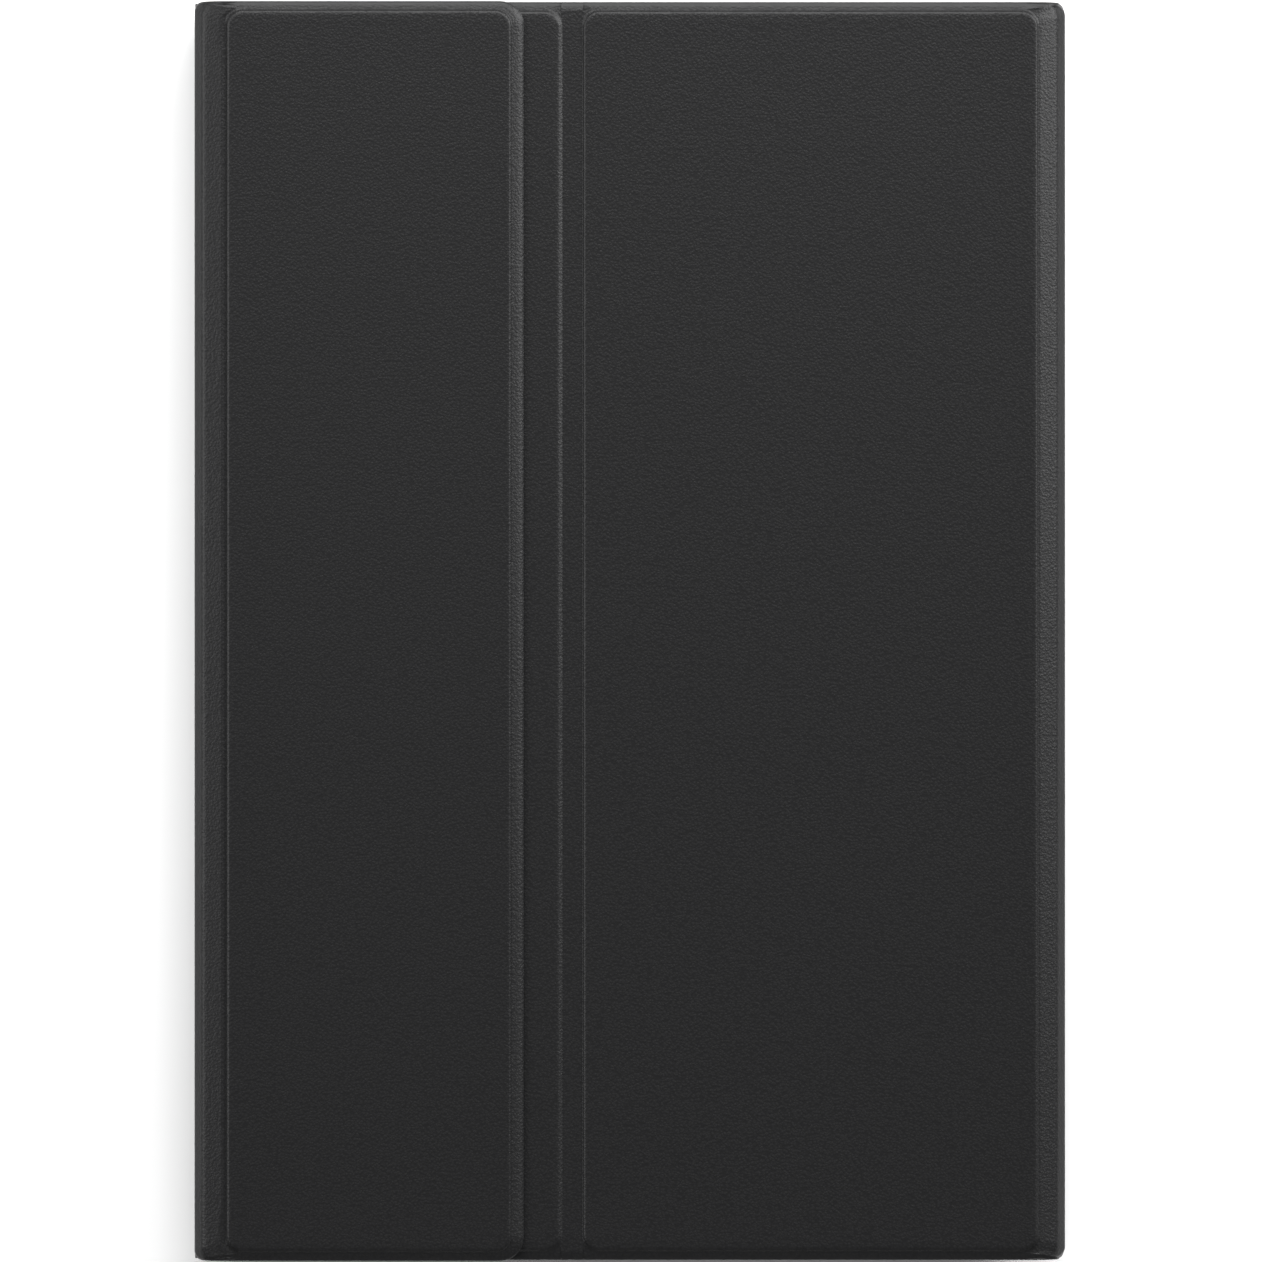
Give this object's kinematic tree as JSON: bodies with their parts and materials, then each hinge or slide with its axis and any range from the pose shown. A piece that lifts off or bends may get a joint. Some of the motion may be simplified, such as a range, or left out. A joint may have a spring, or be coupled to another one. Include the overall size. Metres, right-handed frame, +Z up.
{
  "type": "tablet keyboard case",
  "caption": "Folding leather-covered case for a 10.5-inch tablet: thin keyboard and touchpad below, soft tablet shell above, wrap-over closing flap and fold-out stand panel.",
  "frame": {"origin": "on the table under the middle of the closed case", "axes": "X along the long side, Y from the free edge to the spine, Z up"},
  "size_m": [0.255, 0.1768, 0.0212],
  "materials": {
    "leather": "fine pebbled charcoal leather, satin",
    "lining": "short-nap microfibre lining, matt",
    "stiffener": "pressed fibre stiffening board",
    "adhesive": "foam adhesive sheet",
    "dark_plastic": "fine-grained dark moulded plastic",
    "key_plastic": "matt dark key plastic",
    "soft_shell": "soft moulded shell, matt",
    "rubber": "soft rubber",
    "metal_plate": "stamped steel",
    "film": "printed polyester film",
    "circuit": "solder-masked circuit board",
    "cell_wrap": "foil-wrapped cell",
    "light_window": "clear light window",
    "touch_surface": "smooth satin touch surface",
    "magnet": "plated magnet and keeper bars"
  },
  "bodies": {
    "keyboard": {"keyboard_cover_skin": "leather", "keyboard_cover_board": "stiffener", "keyboard_tray": "dark_plastic", "keyboard_deck": "dark_plastic", "key_plate": "metal_plate", "key_membrane": "film", "key_domes": "rubber", "main_circuit_board": "circuit", "radio_module": "metal_plate", "keyboard_battery": "cell_wrap", "charging_socket": "metal_plate", "touchpad_click_switch": "dark_plastic", "status_lights": "light_window", "screen_bumpers": "rubber", "keyboard_magnets": "magnet"},
    "touchpad": {"touchpad_glass": "touch_surface", "touchpad_circuit": "circuit"},
    "power_switch": {"power_switch_slider": "dark_plastic"},
    "spine": {"spine_skin": "leather", "spine_board": "stiffener", "spine_lining": "lining", "base_crease_leather": "leather", "top_crease_leather": "leather"},
    "tablet_holder": {"tablet_shell": "soft_shell", "shell_keepers": "magnet", "back_panel_adhesive": "adhesive", "back_panel_board": "stiffener", "back_panel_keepers": "magnet", "back_panel_skin": "leather", "stand_crease_leather": "leather"},
    "flap": {"flap_skin": "leather", "flap_board": "stiffener", "flap_lining": "lining", "flap_magnets": "magnet"},
    "stand": {"stand_skin": "leather", "stand_board": "stiffener", "stand_lining": "lining", "stand_magnets": "magnet"},
    "left_control_key": {"left_control_key": "key_plastic"},
    "function_shift_key": {"function_shift_key": "key_plastic"},
    "system_key": {"system_key": "key_plastic"},
    "left_alternate_key": {"left_alternate_key": "key_plastic"},
    "space_bar": {"space_bar": "key_plastic"},
    "right_alternate_key": {"right_alternate_key": "key_plastic"},
    "left_arrow_key": {"left_arrow_key": "key_plastic"},
    "down_arrow_key": {"down_arrow_key": "key_plastic"},
    "right_arrow_key": {"right_arrow_key": "key_plastic"},
    "left_shift_key": {"left_shift_key": "key_plastic"},
    "lower_letter_keys": {"lower_letter_keys": "key_plastic"},
    "right_shift_key": {"right_shift_key": "key_plastic"},
    "up_arrow_key": {"up_arrow_key": "key_plastic"},
    "caps_lock_key": {"caps_lock_key": "key_plastic"},
    "middle_letter_keys": {"middle_letter_keys": "key_plastic"},
    "enter_key": {"enter_key": "key_plastic"},
    "tab_key": {"tab_key": "key_plastic"},
    "upper_letter_keys": {"upper_letter_keys": "key_plastic"},
    "number_keys": {"number_keys": "key_plastic"},
    "backspace_key": {"backspace_key": "key_plastic"},
    "function_keys": {"function_keys": "key_plastic"}
  },
  "joints": [
    {"name": "base_crease", "type": "hinge", "parent": "keyboard", "child": "spine", "pos_m": [0, 0.0868, 0.0018], "axis": [-1, 0, 0], "range_deg": [0, 90], "deforming": ["base_crease_leather"]},
    {"name": "spine_crease", "type": "hinge", "parent": "spine", "child": "tablet_holder", "pos_m": [0, 0.08695, 0.01875], "axis": [-1, 0, 0], "range_deg": [0, 20], "deforming": ["top_crease_leather"]},
    {"name": "stand_fold", "type": "hinge", "parent": "tablet_holder", "child": "stand", "pos_m": [0, 0.0118, 0.018], "axis": [-1, 0, 0], "range_deg": [0, 117.6], "deforming": ["stand_crease_leather"]},
    {"name": "flap_lift", "type": "hinge", "parent": "tablet_holder", "child": "flap", "pos_m": [0, 0.08695, 0.01875], "axis": [1, 0, 0], "range_deg": [-135, 0]},
    {"name": "touchpad_click", "type": "slide", "parent": "keyboard", "child": "touchpad", "axis": [0, 0, -1], "range_m": [0, 0.0004], "stiffness_N_per_m": 1500, "springref_m": -0.0004},
    {"name": "power_switch_slide", "type": "slide", "parent": "keyboard", "child": "power_switch", "axis": [1, 0, 0], "range_m": [0, 0.002]},
    {"name": "left_control_key_press", "type": "slide", "parent": "keyboard", "child": "left_control_key", "axis": [0, 0, -1], "range_m": [0, 0.0012], "stiffness_N_per_m": 400, "springref_m": -0.0006},
    {"name": "function_shift_key_press", "type": "slide", "parent": "keyboard", "child": "function_shift_key", "axis": [0, 0, -1], "range_m": [0, 0.0012], "stiffness_N_per_m": 400, "springref_m": -0.0006},
    {"name": "system_key_press", "type": "slide", "parent": "keyboard", "child": "system_key", "axis": [0, 0, -1], "range_m": [0, 0.0012], "stiffness_N_per_m": 400, "springref_m": -0.0006},
    {"name": "left_alternate_key_press", "type": "slide", "parent": "keyboard", "child": "left_alternate_key", "axis": [0, 0, -1], "range_m": [0, 0.0012], "stiffness_N_per_m": 400, "springref_m": -0.0006},
    {"name": "space_bar_press", "type": "slide", "parent": "keyboard", "child": "space_bar", "axis": [0, 0, -1], "range_m": [0, 0.0012], "stiffness_N_per_m": 400, "springref_m": -0.0006, "deforming": ["key_domes"]},
    {"name": "right_alternate_key_press", "type": "slide", "parent": "keyboard", "child": "right_alternate_key", "axis": [0, 0, -1], "range_m": [0, 0.0012], "stiffness_N_per_m": 400, "springref_m": -0.0006},
    {"name": "left_arrow_key_press", "type": "slide", "parent": "keyboard", "child": "left_arrow_key", "axis": [0, 0, -1], "range_m": [0, 0.0012], "stiffness_N_per_m": 400, "springref_m": -0.0006},
    {"name": "down_arrow_key_press", "type": "slide", "parent": "keyboard", "child": "down_arrow_key", "axis": [0, 0, -1], "range_m": [0, 0.0012], "stiffness_N_per_m": 400, "springref_m": -0.0006},
    {"name": "right_arrow_key_press", "type": "slide", "parent": "keyboard", "child": "right_arrow_key", "axis": [0, 0, -1], "range_m": [0, 0.0012], "stiffness_N_per_m": 400, "springref_m": -0.0006},
    {"name": "left_shift_key_press", "type": "slide", "parent": "keyboard", "child": "left_shift_key", "axis": [0, 0, -1], "range_m": [0, 0.0012], "stiffness_N_per_m": 400, "springref_m": -0.0006},
    {"name": "lower_letter_keys_press", "type": "slide", "parent": "keyboard", "child": "lower_letter_keys", "axis": [0, 0, -1], "range_m": [0, 0.0012], "stiffness_N_per_m": 1600, "springref_m": -0.0006},
    {"name": "right_shift_key_press", "type": "slide", "parent": "keyboard", "child": "right_shift_key", "axis": [0, 0, -1], "range_m": [0, 0.0012], "stiffness_N_per_m": 400, "springref_m": -0.0006},
    {"name": "up_arrow_key_press", "type": "slide", "parent": "keyboard", "child": "up_arrow_key", "axis": [0, 0, -1], "range_m": [0, 0.0012], "stiffness_N_per_m": 400, "springref_m": -0.0006},
    {"name": "caps_lock_key_press", "type": "slide", "parent": "keyboard", "child": "caps_lock_key", "axis": [0, 0, -1], "range_m": [0, 0.0012], "stiffness_N_per_m": 400, "springref_m": -0.0006},
    {"name": "middle_letter_keys_press", "type": "slide", "parent": "keyboard", "child": "middle_letter_keys", "axis": [0, 0, -1], "range_m": [0, 0.0012], "stiffness_N_per_m": 1600, "springref_m": -0.0006},
    {"name": "enter_key_press", "type": "slide", "parent": "keyboard", "child": "enter_key", "axis": [0, 0, -1], "range_m": [0, 0.0012], "stiffness_N_per_m": 400, "springref_m": -0.0006},
    {"name": "tab_key_press", "type": "slide", "parent": "keyboard", "child": "tab_key", "axis": [0, 0, -1], "range_m": [0, 0.0012], "stiffness_N_per_m": 400, "springref_m": -0.0006},
    {"name": "upper_letter_keys_press", "type": "slide", "parent": "keyboard", "child": "upper_letter_keys", "axis": [0, 0, -1], "range_m": [0, 0.0012], "stiffness_N_per_m": 1600, "springref_m": -0.0006},
    {"name": "number_keys_press", "type": "slide", "parent": "keyboard", "child": "number_keys", "axis": [0, 0, -1], "range_m": [0, 0.0012], "stiffness_N_per_m": 1600, "springref_m": -0.0006},
    {"name": "backspace_key_press", "type": "slide", "parent": "keyboard", "child": "backspace_key", "axis": [0, 0, -1], "range_m": [0, 0.0012], "stiffness_N_per_m": 400, "springref_m": -0.0006},
    {"name": "function_keys_press", "type": "slide", "parent": "keyboard", "child": "function_keys", "axis": [0, 0, -1], "range_m": [0, 0.0012], "stiffness_N_per_m": 1600, "springref_m": -0.0006}
  ]
}
